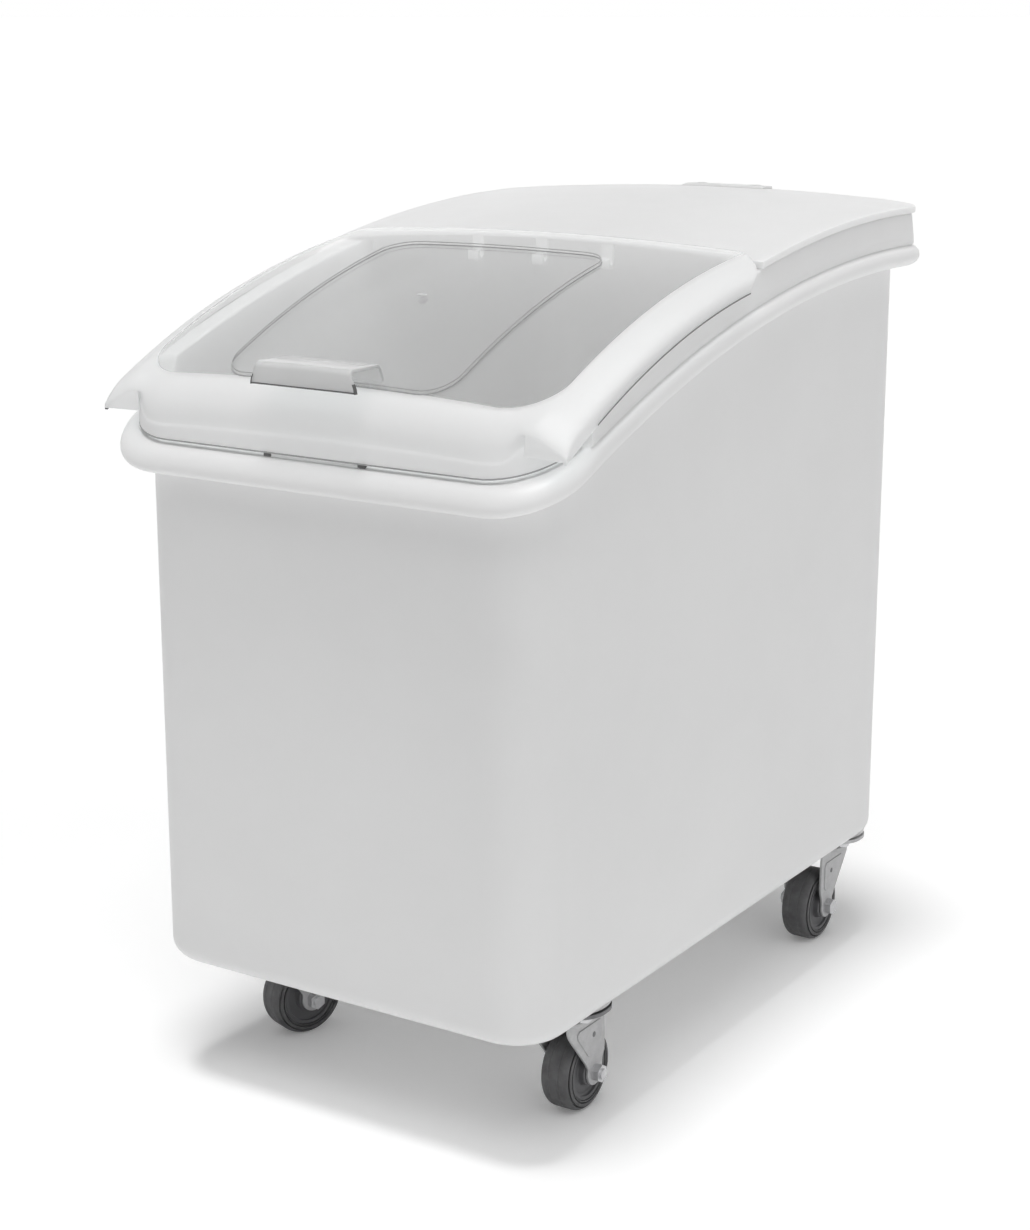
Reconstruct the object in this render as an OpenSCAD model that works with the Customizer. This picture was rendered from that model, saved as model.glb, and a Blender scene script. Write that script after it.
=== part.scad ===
// Rolling flour bin: a moulded tub on four swivel casters, with a crowned rear lid and a clear front lid.
// X runs across the width, Y from front to rear and Z up. The origin is on the floor under the tub's middle.

/* [Tub] */
// Width of the tub wall
tub_w = 416; // [360:1:460]
// Length of the tub wall
tub_l = 690; // [620:1:760]
// Radius of the upright corners
tub_corner_r = 50; // [44:1:60]
// Radius of the edge round the floor
floor_edge_r = 18; // [12:1:24]
// Wall and floor thickness
tub_wall = 4; // [3:0.5:5]
// Height of the tub floor's underside above the ground
floor_z = 112; // [104:1:130]
// Height of the thickened pads inside, over the casters
pad_h = 10; // [8:1:16]

/* [Rim] */
// Radius of the rim's arc in side view, along the lower edge of the bead
rim_r = 1510; // [1300:10:1800]
// Place along the length where the rim's arc is highest
rim_top_y = 270; // [200:5:340]
// Height of the bead's lower edge at that place
rim_top_z = 706; // [660:1:760]
// Reach of the bead beyond the wall
bead_out = 24; // [20:1:30]
// Height of the bead
bead_h = 21; // [16:1:26]
// Reach of the collar beyond the wall
collar_out = 19; // [16:1:22]
// Height of the collar's top above the bead's lower edge
collar_h = 51; // [46:1:56]
// Height of the front lip above the bead's lower edge
lip_h = 38; // [30:1:44]
// Length of the front corner that has no collar
collar_start = 50; // [46:1:60]

/* [Rear lid] */
// Thickness of the rear lid
rear_lid_t = 3; // [2.5:0.5:4]
// Rise of the rear lid's middle above its sides
rear_lid_crown = 12; // [6:1:16]
// Reach of the rear lid in front of the seam between the lids
rear_lid_overlap = 8; // [5:1:12]
// Depth of the locating rib under the rear lid
rib_depth = 14; // [8:1:18]
// Width of the raised tab at the rear edge
tab_w = 102; // [60:1:140]
// Length of the raised tab
tab_l = 24; // [16:1:36]
// Height of the raised tab
tab_h = 5; // [3:0.5:8]
// Distance between the hooks
hook_pitch = 70; // [50:1:90]
// Width of each hook
hook_w = 12; // [8:1:18]
// Drop of each hook under the lid
hook_drop = 26; // [20:1:36]
// Thickness of each hook
hook_t = 4; // [3:0.5:5]

/* [Clear lid] */
// Thickness of the clear lid
clear_t = 3; // [2.5:0.5:4]
// Radius of the clear lid's arc in side view, along its middle
clear_r = 900; // [820:10:1000]
// Distance behind the seam where the clear lid's arc is highest
clear_top_y = 75; // [60:1:90]
// Rise of the clear lid's middle above its shoulders
clear_crown = 7; // [4:0.5:10]
// Half width of the clear lid at its shoulders
shoulder_x = 206; // [200:1:208]
// Reach of the wings beyond the collar, inside
wing_gap = 5; // [4:0.5:8]
// Drop from the shoulder to the wing's outer edge
wing_drop = 13; // [10:1:16]
// Depth of the lip along the wing
wing_lip = 12; // [8:1:16]
// Radius of the clear lid's rear corners in plan
clear_corner_r = 45; // [40:1:55]
// Reach of the front skirt beyond the tub wall
skirt_out = 11; // [9:1:14]
// Height of the slit between the front skirt and the bead
skirt_slit = 3; // [2:0.5:5]
// Width of the tab that closes the slit in the middle
rest_tab_w = 88; // [60:1:120]
// Width of the raised panel
panel_w = 230; // [160:1:260]
// Length of the raised panel
panel_l = 262; // [200:1:290]
// Distance of the raised panel behind the front of the wall
panel_front = 10; // [6:1:20]
// Height of the raised panel
panel_h = 3; // [2:0.5:4]
// Corner radius of the raised panel
panel_corner_r = 28; // [20:1:44]
// Width of the finger pull
pull_w = 100; // [70:1:130]
// Height of the finger pull's front
pull_h = 19; // [14:1:24]
// Height of the finger pull's top above the panel's front edge
pull_rise = 16; // [12:1:20]

/* [Casters] */
// Distance of the caster pivots inside the side walls
pivot_side = 51; // [48:1:70]
// Distance of the front pivots behind the front wall
pivot_front = 123; // [90:1:140]
// Distance of the rear pivots in front of the rear wall
pivot_rear = 46; // [36:1:70]
// Turn of the front left fork, as it stands
front_left_turn = -20; // [-180:1:180]
// Wheel diameter
wheel_d = 75; // [65:1:80]
// Tyre width
tyre_w = 31; // [24:1:34]
// Diameter of the wheel core under the tyre
core_d = 54; // [46:1:58]
// Length of the hub between the fork legs
hub_l = 36; // [35:0.5:42]
// Hub diameter
hub_d = 27; // [22:1:32]
// Distance of the axle behind the pivot
trail = 24; // [20:1:38]
// Length of the top plate
plate_l = 92; // [84:1:100]
// Width of the top plate
plate_w = 60; // [54:1:66]
// Thickness of the top plate
plate_t = 3.5; // [3:0.5:5]
// Corner radius of the top plate
plate_corner_r = 28; // [6:1:30]
// Distance between the plate holes along the plate
hole_l = 64; // [58:1:70]
// Distance between the plate holes across the plate
hole_w = 28; // [24:1:32]
// Diameter of the plate screws
screw_d = 8; // [6:0.5:9]
// Diameter of the ball race
race_d = 46; // [40:1:50]
// Height of the ball race
race_h = 9; // [7:0.5:12]
// Diameter of the kingpin
kingpin_d = 12; // [10:0.5:14]
// Thickness of the fork's sheet
fork_t = 3; // [2.5:0.5:4]
// Diameter of the fork's crown
crown_d = 58; // [54:1:62]
// Width of the fork legs at the axle
leg_end_w = 22; // [20:1:26]
// Axle bolt diameter
axle_d = 10; // [8:0.5:12]
// Outer diameter of the axle sleeve
sleeve_d = 14; // [13:0.5:16]

/* [Fits] */
// Radial clearance of turning fits
turn_gap = 0.05; // [0.02:0.01:0.1]
// Clearance between bodies that lie on each other
rest_gap = 0.3; // [0.2:0.05:0.5]
// Radial clearance round screws
screw_gap = 0.3; // [0.1:0.1:0.5]
// Axial play of the wheel between the fork legs, each side
wheel_play = 0.5; // [0.3:0.1:1]

/* [Hidden] */
$fn = 96;
far = 1200;
cut = 1;
lap = 1;

half_w = tub_w / 2;
half_l = tub_l / 2;
rim_cz = rim_top_z - rim_r;
bead_r = tub_corner_r + bead_out / 2;
bead_corner_x = half_w + bead_out - bead_r;
bead_corner_y = half_l + bead_out - bead_r;
bead_front_a = acos((-bead_corner_y - rim_top_y) / rim_r);
bead_rear_a = acos((bead_corner_y - rim_top_y) / rim_r);
bead_root = tub_corner_r / 2;
bead_lap = 0.4;
bead_lap_a = 0.1;
pad_d = plate_l - 2;

// Height of a rim line, h above the bead's lower edge, at a place along the length
function rim_z(y, h) = rim_cz + sqrt(pow(rim_r + h, 2) - pow(y - rim_top_y, 2));

// The rear lid lies on the collar, and the clear lid on the rear lid's front edge. The seam is at y = 0
rear_lid_h = collar_h + rest_gap;
rear_lid_top_h = rear_lid_h + rear_lid_t + rear_lid_crown;
seam_z = rim_z(0, rear_lid_top_h) + rest_gap;
clear_cz = seam_z + clear_t - sqrt(pow(clear_r, 2) - pow(clear_top_y, 2));
rib_gap = 1;
rib_t = 3;
rib_in = tub_wall + rib_gap;
hook_reach = 2 * hook_t;
hook_rise = 2.5 * hook_t;
rear_half_w = half_w + collar_out;
rear_half_l = half_l + collar_out;
rear_corner_r = tub_corner_r + collar_out / 2;
rear_crown_r = (pow(rear_half_w, 2) + pow(rear_lid_crown, 2)) / (2 * rear_lid_crown);

// Height of the clear lid's surface, d under its middle line, at a place along the length
function clear_z(y, d) = clear_cz + sqrt(pow(clear_r - d, 2) - pow(y - clear_top_y, 2));

wing_in = half_w + collar_out + wing_gap;
wing_out = wing_in + clear_t;
clear_crown_r = (pow(shoulder_x, 2) + pow(clear_crown, 2)) / (2 * clear_crown);
wing_front = half_l;
shoulder_step = 0.2;
skirt_in = skirt_out - clear_t;
ledge_h = bead_h + bead_lap;
skirt_corner_r = tub_corner_r + skirt_out;
skirt_rear = -half_l + collar_start - rest_gap;
panel_y = -half_l + panel_front;
pull_front = -half_l - bead_out;
pull_root = 8;
pull_edge = 4;
pull_gap = 0.05;
pull_top = clear_z(panel_y, -panel_h) + pull_rise;

axle_z = wheel_d / 2;
plate_z = floor_z - plate_t;
plate_r = min(plate_corner_r, plate_w / 2 - lap);
screw_hole_z = floor_z + pad_h;
race_z = plate_z - race_h;
crown_z = race_z - rest_gap - fork_t;
leg_in = hub_l / 2 + wheel_play;
screw_head_d = 1.6 * screw_d;
screw_head_h = 0.6 * screw_d;
race_groove_z = 0.3 * race_h;
race_groove_r = 0.22 * race_h;
kingpin_head_d = 1.7 * kingpin_d;
leg_front = 0.38 * crown_d;
leg_step_z = axle_z + 0.8 * leg_end_w;
bridge_l = 0.6 * crown_d;
nut_d = 1.7 * axle_d;
nut_h = 0.7 * axle_d;
bolt_end = 2;
core_w = tyre_w - 2;
core_rim_t = 3;
core_pocket = 4;
tyre_edge_r = 5;
groove_w = 1.2;
groove_depth = 1;
groove_d = (core_d + wheel_d) / 2 - 4;

// Each caster: name, pivot, turn of its plate, and turn of its fork
CASTERS = [
    ["front_right", [half_w - pivot_side, pivot_front - half_l], 90, 0],
    ["front_left", [pivot_side - half_w, pivot_front - half_l], 90, front_left_turn],
    ["rear_right", [half_w - pivot_side, half_l - pivot_rear], 90, 180],
    ["rear_left", [pivot_side - half_w, half_l - pivot_rear], 90, 180]
];
CASTER_PIECES = [
    "plate", "race", "kingpin", "fork", "axle_bolt", "axle_nut", "sleeve", "wheel_core", "tyre"
];

// Rounded rectangle in plan, with its middle at the origin
module plan(hw, hl, r) {
    square([2 * hw, 2 * (hl - r)], center = true);
    square([2 * (hw - r), 2 * hl], center = true);
    for (sx = [-1, 1], sy = [-1, 1]) {
        translate([sx * (hw - r), sy * (hl - r)]) circle(r);
    }
}

// Upright block with rounded corners
module block(hw, hl, r, z0, z1) {
    translate([0, 0, z0]) linear_extrude(z1 - z0) plan(hw, hl, r);
}

// Half section of a wall with a rounded lower edge, as [reach, height]
module edge_section(r, edge, h) {
    translate([0, edge]) square([r, h - edge]);
    square([r - edge, h]);
    translate([r - edge, edge]) circle(edge);
}

// Upright block whose lower edge is rounded too
module round_block(hw, hl, r, edge, z0, z1) {
    h = z1 - z0;
    translate([0, 0, z0]) {
        translate([0, hl - r, 0]) rotate([90, 0, 0]) linear_extrude(2 * (hl - r)) {
            edge_section(hw, edge, h);
            mirror([1, 0]) edge_section(hw, edge, h);
        }
        for (turn = [0, 180]) {
            rotate([0, 0, turn]) translate([r - hw, hl - r, 0]) rotate([90, 0, 90])
                linear_extrude(2 * (hw - r)) edge_section(r, edge, h);
        }
        for (mx = [0, 1], my = [0, 1]) {
            mirror([mx, 0, 0]) mirror([0, my, 0]) translate([hw - r, hl - r, 0])
                rotate_extrude(angle = 90) edge_section(r, edge, h);
        }
    }
}

// Everything under a rim line
module under_rim(h) {
    translate([0, rim_top_y, rim_cz]) rotate([0, 90, 0])
        cylinder(r = rim_r + h, h = far, center = true, $fn = 360);
}

// Turns a profile of [radius, x] about a crosswise axis, over angles measured from the rear
module turned(cy, cz, a0, a1) {
    translate([0, cy, cz]) rotate([90, 0, 90])
        rotate_extrude(angle = a1 - a0, start = a0, $fn = 720) children();
}

// Plane that touches the rim's arc at an angle measured from the rear
module at_rim(angle) {
    translate([0, rim_top_y, rim_cz]) rotate([angle - 90, 0, 0]) translate([0, 0, rim_r]) children();
}

module caster_at(c, turn) {
    translate([c[1][0], c[1][1], 0]) rotate([0, 0, turn]) children();
}

module plate_holes() {
    for (sx = [-1, 1], sy = [-1, 1]) {
        translate([sx * hole_w / 2, sy * hole_l / 2, 0]) children();
    }
}

// Half round section of the bead from the wall outwards, as [reach, height]
module bead_section(reach_in, reach_out, lap) {
    translate([reach_in, -lap]) square([reach_out - bead_h / 2 - reach_in, bead_h + 2 * lap]);
    translate([reach_out - bead_h / 2, bead_h / 2]) circle(bead_h / 2 + lap);
}

// Bead round one end of the tub, in the plane that touches the rim's arc there
module bead_end(angle, turn) {
    reach_in = bead_r - bead_out - bead_root;
    at_rim(angle) rotate([0, 0, turn]) {
        for (mx = [0, 1]) {
            mirror([mx, 0, 0]) translate([bead_corner_x, 0, 0])
                rotate_extrude(angle = 90) bead_section(reach_in, bead_r, bead_lap);
        }
        translate([-bead_corner_x, 0, 0]) rotate([90, 0, 90]) linear_extrude(2 * bead_corner_x)
            bead_section(reach_in, bead_r, bead_lap);
    }
}

module bead() {
    for (mx = [0, 1]) {
        mirror([mx, 0, 0]) turned(rim_top_y, rim_cz, bead_rear_a - bead_lap_a, bead_front_a + bead_lap_a)
            translate([rim_r, 0]) rotate(90) mirror([0, 1])
                bead_section(half_w - bead_root + lap, half_w + bead_out, 0);
    }
    bead_end(bead_front_a, 180);
    bead_end(bead_rear_a, 0);
}

// Collar above the bead, along the sides and the rear
module collar() {
    inset = tub_wall / 2;
    difference() {
        intersection() {
            difference() {
                block(rear_half_w, rear_half_l, rear_corner_r, floor_z + pad_h, far);
                block(half_w - inset, half_l - inset, tub_corner_r - inset, floor_z, far + cut);
            }
            under_rim(collar_h);
        }
        under_rim(bead_h / 2);
        translate([-far / 2, -half_l + collar_start - far, 0]) cube([far, far, far * 2]);
    }
}

module tub() color("whitesmoke") {
    difference() {
        union() {
            intersection() {
                round_block(half_w, half_l, tub_corner_r, floor_edge_r, floor_z, far);
                under_rim(lip_h);
            }
            bead();
            collar();
        }
        difference() {
            round_block(half_w - tub_wall, half_l - tub_wall, tub_corner_r - tub_wall,
                floor_edge_r - tub_wall, floor_z + tub_wall, far + cut);
            for (c = CASTERS) {
                caster_at(c, c[2]) translate([0, 0, floor_z]) cylinder(d = pad_d, h = tub_wall + pad_h);
            }
        }
        for (c = CASTERS) {
            caster_at(c, c[2]) plate_holes()
                translate([0, 0, floor_z - cut]) cylinder(d = screw_d, h = screw_hole_z - floor_z + cut);
        }
    }
}

// Crowned section of the rear lid, as [radius, x]
module rear_section(lower, upper) {
    top = rim_r + rear_lid_top_h;
    intersection() {
        difference() {
            translate([top + upper - rear_crown_r, 0]) circle(rear_crown_r, $fn = 720);
            translate([top - lower - rear_crown_r, 0]) circle(rear_crown_r, $fn = 720);
        }
        translate([top - far / 4, -half_w * 2]) square([far / 2, half_w * 4]);
    }
}

module rear_lid() color("white") {
    intersection() {
        turned(rim_top_y, rim_cz, 80, 106) rear_section(rear_lid_t, 0);
        translate([0, 0, floor_z]) linear_extrude(far) intersection() {
            plan(rear_half_w, rear_half_l, rear_corner_r);
            translate([-far / 2, -rear_lid_overlap]) square([far, far]);
        }
    }
    intersection() {
        turned(rim_top_y, rim_cz, 80, 106) rear_section(rear_lid_t / 3, tab_h);
        translate([-tab_w / 2, rear_half_l - tab_l, floor_z]) cube([tab_w, tab_l, far]);
    }
    // Locating rib, just inside the collar
    intersection() {
        turned(rim_top_y, rim_cz, 80, 106) rear_section(rib_depth + rear_lid_crown, -rear_lid_t / 2);
        translate([0, 0, floor_z]) linear_extrude(far) difference() {
            plan(half_w - rib_in, half_l - rib_in, tub_corner_r - rib_in);
            plan(half_w - rib_in - rib_t, half_l - rib_in - rib_t, tub_corner_r - rib_in - rib_t);
            translate([-far / 2, hook_t - far]) square([far, far]);
        }
    }
}

module lid_hooks() color("white") {
    top = rim_z(-rear_lid_overlap, rear_lid_top_h);
    intersection() {
        for (i = [-1 : 1]) {
            translate([i * hook_pitch - hook_w / 2, -rear_lid_overlap, top - hook_drop]) {
                cube([hook_w, hook_t, 2 * hook_drop]);
                translate([0, -hook_reach, 0]) cube([hook_w, hook_reach + hook_t, hook_t]);
                translate([0, -hook_reach, 0]) cube([hook_w, hook_t, hook_rise]);
            }
        }
        turned(rim_top_y, rim_cz, 80, 106) rear_section(2 * hook_drop, -rear_lid_t);
    }
}

// Crowned section of the clear lid with its shoulders and wings, as [radius, x]
module clear_section() {
    shoulder = clear_r - clear_crown;
    intersection() {
        difference() {
            translate([clear_r - clear_crown_r, 0]) circle(clear_crown_r, $fn = 720);
            translate([clear_r - clear_t - clear_crown_r, 0]) circle(clear_crown_r, $fn = 720);
        }
        translate([clear_r - far / 4, -shoulder_x]) square([far / 2, 2 * shoulder_x]);
    }
    for (s = [-1, 1]) {
        polygon([
            [shoulder - shoulder_step, s * (shoulder_x - lap)],
            [shoulder - wing_drop, s * wing_out],
            [shoulder - wing_drop - wing_lip, s * wing_out],
            [shoulder - wing_drop - wing_lip, s * wing_in],
            [shoulder - wing_drop - clear_t / 2, s * wing_in],
            [shoulder - clear_t + shoulder_step, s * (shoulder_x - lap)]
        ]);
    }
}

module clear_shell() {
    intersection() {
        turned(clear_top_y, clear_cz, 91, 126) clear_section();
        translate([0, 0, floor_z]) linear_extrude(far) {
            intersection() {
                plan(wing_out, half_l, clear_corner_r);
                translate([0, -half_l]) plan(wing_out, half_l, clear_corner_r);
                translate([-far / 2, -wing_front + clear_corner_r]) square([far, far]);
            }
            translate([-wing_out, -wing_front]) square([2 * wing_out, clear_corner_r + lap]);
            intersection() {
                plan(half_w + skirt_out - lap, half_l + skirt_out - lap, skirt_corner_r - lap);
                translate([-far / 2, -far]) square([far, far - half_l + clear_corner_r]);
            }
        }
    }
}

// Everything under the clear lid's top face, as [radius, x]
module clear_under() {
    shoulder = clear_r - clear_crown - lap;
    low = clear_r - far / 4;
    intersection() {
        translate([clear_r - lap - clear_crown_r, 0]) circle(clear_crown_r, $fn = 720);
        translate([low, -shoulder_x]) square([far / 2, 2 * shoulder_x]);
    }
    for (s = [-1, 1]) {
        polygon([
            [shoulder - 2 * shoulder_step, s * (shoulder_x - lap)],
            [shoulder - wing_drop, s * wing_out],
            [low, s * wing_out],
            [low, s * (shoulder_x - lap)]
        ]);
    }
}

// Front skirt, whose lower edge follows the bead, with the tab that rests on the bead
module clear_skirt() {
    difference() {
        intersection() {
            difference() {
                block(half_w + skirt_out, half_l + skirt_out, skirt_corner_r, floor_z, far);
                block(half_w + skirt_in, half_l + skirt_in, skirt_corner_r - clear_t, 0, far + cut);
            }
            turned(clear_top_y, clear_cz, 91, 126) clear_under();
            translate([-far / 2, skirt_rear - far, 0]) cube([far, far, far]);
        }
        at_rim(bead_front_a) translate([-far / 2, -far / 2, -far])
            cube([far, far, far + ledge_h + skirt_slit]);
    }
    intersection() {
        translate([-rest_tab_w / 2, -half_l - skirt_out, floor_z]) cube([rest_tab_w, clear_t, far]);
        at_rim(bead_front_a) translate([-far / 2, -far / 2, ledge_h + rest_gap])
            cube([far, far, skirt_slit + clear_t]);
    }
}

module clear_panel() {
    intersection() {
        turned(clear_top_y, clear_cz, 91, 126) intersection() {
            difference() {
                translate([clear_r + panel_h - clear_crown_r, 0]) circle(clear_crown_r, $fn = 720);
                translate([clear_r - lap - clear_crown_r, 0]) circle(clear_crown_r, $fn = 720);
            }
            translate([clear_r - far / 4, -panel_w]) square([far / 2, 2 * panel_w]);
        }
        translate([0, panel_y + panel_l / 2, floor_z]) linear_extrude(far)
            plan(panel_w / 2, panel_l / 2, panel_corner_r);
    }
}

// Hooded lip over the front edge of the raised panel
module finger_pull() color("lightcyan", 0.4) {
    back = panel_y + pull_root;
    under = pull_top - clear_t - lap;
    translate([-pull_w / 2, 0, 0]) rotate([90, 0, 90]) linear_extrude(pull_w) polygon([
        [back, clear_z(back, -panel_h - pull_gap)],
        [back, pull_top],
        [pull_front + pull_edge, pull_top],
        [pull_front, pull_top - pull_edge],
        [pull_front, pull_top - pull_h],
        [pull_front + clear_t, pull_top - pull_h],
        [pull_front + clear_t, under],
        [panel_y, under],
        [panel_y, clear_z(panel_y, -panel_h - pull_gap)]
    ]);
}

module clear_lid() color("lightcyan", 0.4) {
    clear_shell();
    clear_skirt();
    clear_panel();
}

module plate_screws() color("silver") {
    for (c = CASTERS) {
        caster_at(c, c[2]) plate_holes() {
            translate([0, 0, plate_z - screw_head_h]) cylinder(d = screw_head_d, h = screw_head_h, $fn = 6);
            translate([0, 0, plate_z - lap])
                cylinder(d = screw_d - 2 * turn_gap, h = screw_hole_z - plate_z);
        }
    }
}

module plate() color("dimgray") {
    difference() {
        translate([0, 0, plate_z]) linear_extrude(plate_t) plan(plate_w / 2, plate_l / 2, plate_r);
        plate_holes() translate([0, 0, plate_z - cut])
            cylinder(d = screw_d + 2 * screw_gap, h = plate_t + 2 * cut);
        translate([0, 0, plate_z - cut]) cylinder(d = kingpin_d, h = plate_t + 2 * cut);
    }
}

module race() color("silver") {
    translate([0, 0, race_z]) rotate_extrude() difference() {
        translate([kingpin_d / 2, 0]) square([race_d / 2 - kingpin_d / 2, race_h]);
        translate([race_d / 2, race_groove_z]) circle(race_groove_r);
    }
}

module kingpin() color("silver") {
    translate([0, 0, crown_z - fork_t]) cylinder(d = kingpin_d, h = floor_z - crown_z + fork_t);
    translate([0, 0, crown_z - 2 * fork_t - rest_gap]) cylinder(d = kingpin_head_d, h = 2 * fork_t);
}

// Side outline of a fork leg, as [distance behind the pivot, height]
module leg_outline() {
    polygon([
        [-leg_front, crown_z + fork_t],
        [crown_d / 2, crown_z + fork_t],
        [trail + leg_end_w / 2, leg_step_z],
        [trail + leg_end_w / 2, axle_z],
        [trail - leg_end_w / 2, axle_z],
        [-leg_front, crown_z - fork_t * 3]
    ]);
    translate([trail, axle_z]) circle(leg_end_w / 2);
}

module fork() color("lightgray") {
    difference() {
        union() {
            translate([0, 0, crown_z]) cylinder(d = crown_d, h = fork_t);
            translate([-leg_in - fork_t, -bridge_l / 2, crown_z])
                cube([2 * (leg_in + fork_t), bridge_l, fork_t]);
            for (s = [-1, 1]) {
                translate([s * (leg_in + fork_t / 2) - fork_t / 2, 0, 0]) rotate([90, 0, 90])
                    linear_extrude(fork_t) leg_outline();
            }
        }
        translate([0, 0, crown_z - cut]) cylinder(d = kingpin_d + 2 * turn_gap, h = fork_t + 2 * cut);
        translate([0, trail, axle_z]) rotate([0, 90, 0]) cylinder(d = axle_d, h = far, center = true);
    }
}

// Round piece on the axle line, from one place to another across the wheel
module on_axle(x0, x1, d, sides = 96) {
    translate([x0, trail, axle_z]) rotate([0, 90, 0]) cylinder(d = d, h = x1 - x0, $fn = sides);
}

module axle_bolt() color("silver") {
    on_axle(-leg_in - fork_t - nut_h, -leg_in - fork_t, nut_d, 6);
    on_axle(-leg_in - fork_t - lap, leg_in + fork_t + nut_h + bolt_end, axle_d);
}

module axle_nut() color("silver") {
    difference() {
        on_axle(leg_in + fork_t, leg_in + fork_t + nut_h, nut_d, 6);
        on_axle(leg_in, leg_in + fork_t + nut_h + cut, axle_d);
    }
}

module sleeve() color("goldenrod") {
    difference() {
        on_axle(-leg_in, leg_in, sleeve_d);
        on_axle(-leg_in - cut, leg_in + cut, axle_d);
    }
}

module wheel_core() color("gray") {
    difference() {
        union() {
            on_axle(-core_w / 2, core_w / 2, core_d);
            on_axle(-hub_l / 2, hub_l / 2, hub_d);
        }
        on_axle(-hub_l, hub_l, sleeve_d + 2 * turn_gap);
        for (s = [-1, 1]) {
            translate([s * core_w / 2, trail, axle_z]) rotate([0, 90, 0]) rotate_extrude()
                translate([(hub_d + core_d) / 4, 0])
                    square([(core_d - hub_d) / 2 - 2 * core_rim_t, 2 * core_pocket], center = true);
        }
    }
}

module tyre() color("dimgray") {
    edge = tyre_edge_r;
    translate([0, trail, axle_z]) rotate([0, 90, 0]) rotate_extrude() difference() {
        union() {
            translate([core_d / 2, -tyre_w / 2]) square([(wheel_d - core_d) / 2 - edge, tyre_w]);
            translate([core_d / 2, -tyre_w / 2 + edge]) square([(wheel_d - core_d) / 2, tyre_w - 2 * edge]);
            for (s = [-1, 1]) {
                translate([wheel_d / 2 - edge, s * (tyre_w / 2 - edge)]) circle(edge);
            }
        }
        for (s = [-1, 1]) {
            translate([groove_d / 2, s * tyre_w / 2]) square([groove_w, 2 * groove_depth], center = true);
        }
    }
}

module caster_piece(c, p) {
    if (p == "plate") caster_at(c, c[2]) plate();
    if (p == "race") caster_at(c, c[2]) race();
    if (p == "kingpin") caster_at(c, c[2]) kingpin();
    if (p == "fork") caster_at(c, c[3]) fork();
    if (p == "axle_bolt") caster_at(c, c[3]) axle_bolt();
    if (p == "axle_nut") caster_at(c, c[3]) axle_nut();
    if (p == "sleeve") caster_at(c, c[3]) sleeve();
    if (p == "wheel_core") caster_at(c, c[3]) wheel_core();
    if (p == "tyre") caster_at(c, c[3]) tyre();
}

tub();
rear_lid();
lid_hooks();
clear_lid();
finger_pull();
plate_screws();
for (c = CASTERS, p = CASTER_PIECES) {
    caster_piece(c, p);
}
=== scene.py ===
# Rolling flour bin: the looks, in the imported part's own frame. Lengths are in millimetres.
import bmesh
import bpy
import math
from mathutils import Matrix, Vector


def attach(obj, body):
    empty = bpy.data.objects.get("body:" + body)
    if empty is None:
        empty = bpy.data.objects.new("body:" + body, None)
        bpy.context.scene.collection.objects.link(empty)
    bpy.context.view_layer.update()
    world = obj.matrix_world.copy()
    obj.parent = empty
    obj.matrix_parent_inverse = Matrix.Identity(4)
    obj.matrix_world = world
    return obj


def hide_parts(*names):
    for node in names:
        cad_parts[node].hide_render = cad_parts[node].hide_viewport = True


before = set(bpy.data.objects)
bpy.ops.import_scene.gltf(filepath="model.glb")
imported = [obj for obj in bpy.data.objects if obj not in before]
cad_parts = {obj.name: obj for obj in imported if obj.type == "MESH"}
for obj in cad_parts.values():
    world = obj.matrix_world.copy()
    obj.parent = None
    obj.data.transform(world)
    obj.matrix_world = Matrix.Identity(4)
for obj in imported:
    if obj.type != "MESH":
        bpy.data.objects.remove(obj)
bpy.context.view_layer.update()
MM = 0.001

# Sizes that the part's source has too: tub, rim, clear lid, rear lid, panel and finger pull
HALF_W, HALF_L, CORNER_R, WALL = 208, 345, 50, 4
FLOOR_Z, FLOOR_R, PAD_H, PAD_D = 112, 18, 10, 90
RIM_R, RIM_Y, RIM_Z = 1510, 270, 706
RIM_CZ = RIM_Z - RIM_R
BEAD_OUT, BEAD_H, COLLAR_H, LIP_H = 24, 21, 51, 38
CLEAR_T, CLEAR_R, CLEAR_Y, CROWN = 3, 900, 75, 7
SHOULDER_X, WING_OUT, WING_DROP, WING_LIP = 206, 235, 13, 12
SKIRT_OUT, SKIRT_SLIT, LEDGE_H, REST_GAP = 11, 3, 21.4, 0.3
REAR_TOP_H, REAR_CROWN, REAR_W, REAR_L, REAR_R = 66.3, 12, 227, 364, 59.5
LID_FRONT, REAR_T = -8, 3
PANEL_W, PANEL_FRONT, PANEL_REAR, PANEL_R, PANEL_H = 115, -335, -73, 28, 3
PULL_RISE, PULL_DROP, PULL_T = 16, 19, 3
# Each caster's pivot, the turn of its fork, and its sizes
PIVOTS = {
    "front_right": (157, -222, 0),
    "front_left": (-157, -222, -20),
    "rear_right": (157, 299, 180),
    "rear_left": (-157, 299, 180),
}
TRAIL, AXLE_Z, CROWN_Z, LEG_IN, FORK_T, TYRE_R = 24, 37.5, 96.2, 18.5, 3, 37.5
# Sizes of the looks alone: the rear lid's top crown, the pull's flare, the tyre's shoulder
REAR_TOP_CROWN, PULL_HALF, PULL_FLARE, TYRE_SHOULDER = 9.0, 48, 5, 7.5
# Radius that stands for the axis in a turned section
TIP = 0.01

FRONT_SIN = (RIM_Y + HALF_L + BEAD_OUT - CORNER_R - BEAD_OUT / 2) / RIM_R
FRONT_COS = math.sqrt(1 - FRONT_SIN ** 2)


def rim_z(y, h):
    """Height of the rim line that lies h above the bead's lower edge."""
    if y < RIM_Y - (RIM_R + h) * FRONT_SIN:
        return RIM_CZ + (RIM_R + h - FRONT_SIN * (RIM_Y - y)) / FRONT_COS
    return RIM_CZ + math.sqrt((RIM_R + h) ** 2 - (y - RIM_Y) ** 2)


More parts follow.
